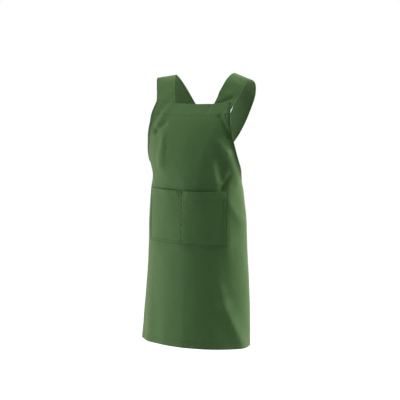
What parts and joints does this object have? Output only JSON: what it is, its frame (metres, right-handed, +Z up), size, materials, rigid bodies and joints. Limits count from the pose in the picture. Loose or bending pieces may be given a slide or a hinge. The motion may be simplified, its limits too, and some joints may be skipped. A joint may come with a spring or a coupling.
{
  "type": "kitchen apron",
  "caption": "Cross-back cotton kitchen apron: bib and wrap-round skirt in one cut, wide shoulder straps and a divided patch pocket, in its worn form.",
  "frame": {"origin": "midway between the wearer's shoulders, level with the tops of the straps' middle lines", "axes": "+Z up along the wearer, +X towards the wearer's left, -Y towards the front of the apron"},
  "size_m": [0.3799, 0.2409, 0.8861],
  "materials": {
    "panel_cotton": "plain green cotton twill, matt",
    "pocket_cotton": "plain green cotton twill, matt",
    "strap_cotton": "plain green cotton twill, doubled and pressed, matt"
  },
  "bodies": {
    "root": {"front_panel": "panel_cotton", "pocket": "pocket_cotton", "strap_left": "strap_cotton", "strap_right": "strap_cotton"}
  },
  "joints": []
}
